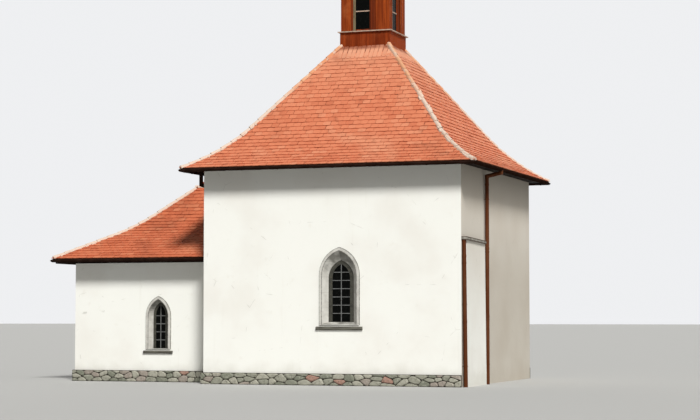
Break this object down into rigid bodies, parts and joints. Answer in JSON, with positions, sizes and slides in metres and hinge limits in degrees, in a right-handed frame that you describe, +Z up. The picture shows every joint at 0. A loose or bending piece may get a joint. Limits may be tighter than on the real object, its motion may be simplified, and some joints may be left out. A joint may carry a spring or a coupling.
{
  "type": "church",
  "caption": "Small rendered church: a tall square nave under a bell-cast tiled roof with a timber lantern and cross, and a lower chancel with a hipped tiled roof.",
  "frame": {"origin": "on the ground at the centre of the square nave", "axes": "+X along the front wall away from the chancel, +Y from the front wall into the depth, +Z up"},
  "size_m": [14.33, 9.36, 15.603],
  "materials": {
    "plaster": "matt limewash",
    "rubble_stone": "rough rubble in lime mortar",
    "floor_stone": "worn flags",
    "coping_stone": "weathered",
    "roof_tiles": "matt fired clay",
    "lime_mortar": "rough mortar bedding",
    "eaves_timber": "dark stain",
    "dark_sheet_metal": "semi matt",
    "brown_sheet_metal": "satin",
    "dressed_stone": "fine dressed",
    "sill_stone": "dark dressed",
    "grey_timber": "grey paint",
    "pane_glass": "clear",
    "door_oak": "oiled boards",
    "orange_timber": "orange brown stain",
    "pale_timber": "weathered pale paint",
    "wrought_iron": "black"
  },
  "bodies": {
    "root": {"nave_front_wall": "plaster", "nave_back_wall": "plaster", "nave_left_wall": "plaster", "nave_right_wall": "plaster", "chancel_front_wall": "plaster", "chancel_back_wall": "plaster", "chancel_end_wall": "plaster", "side_buttress": "plaster", "nave_plinth": "rubble_stone", "chancel_plinth": "rubble_stone", "nave_floor": "floor_stone", "chancel_floor": "floor_stone", "buttress_coping": "coping_stone", "nave_roof_front": "roof_tiles", "nave_roof_back": "roof_tiles", "nave_roof_left": "roof_tiles", "nave_roof_right": "roof_tiles", "chancel_roof_front": "roof_tiles", "chancel_roof_back": "roof_tiles", "chancel_roof_end": "roof_tiles", "lantern_roof": "roof_tiles", "nave_hip_caps": "lime_mortar", "chancel_roof_caps": "lime_mortar", "nave_eaves": "eaves_timber", "chancel_eaves": "eaves_timber", "nave_gutters": "dark_sheet_metal", "chancel_gutters": "dark_sheet_metal", "left_downpipe": "dark_sheet_metal", "chancel_flashing": "dark_sheet_metal", "right_downpipe": "brown_sheet_metal", "corner_downpipe": "brown_sheet_metal", "window_surrounds": "dressed_stone", "door_surround": "dressed_stone", "window_sills": "sill_stone", "window_frames": "grey_timber", "window_glass": "pane_glass", "lantern_window_glass": "pane_glass", "door_leaf": "door_oak", "lantern_skirt": "orange_timber", "lantern_posts": "orange_timber", "lantern_panels": "orange_timber", "lantern_cornice": "orange_timber", "lantern_sill_trim": "pale_timber", "lantern_window_frames": "pale_timber", "finial": "wrought_iron"}
  },
  "joints": []
}
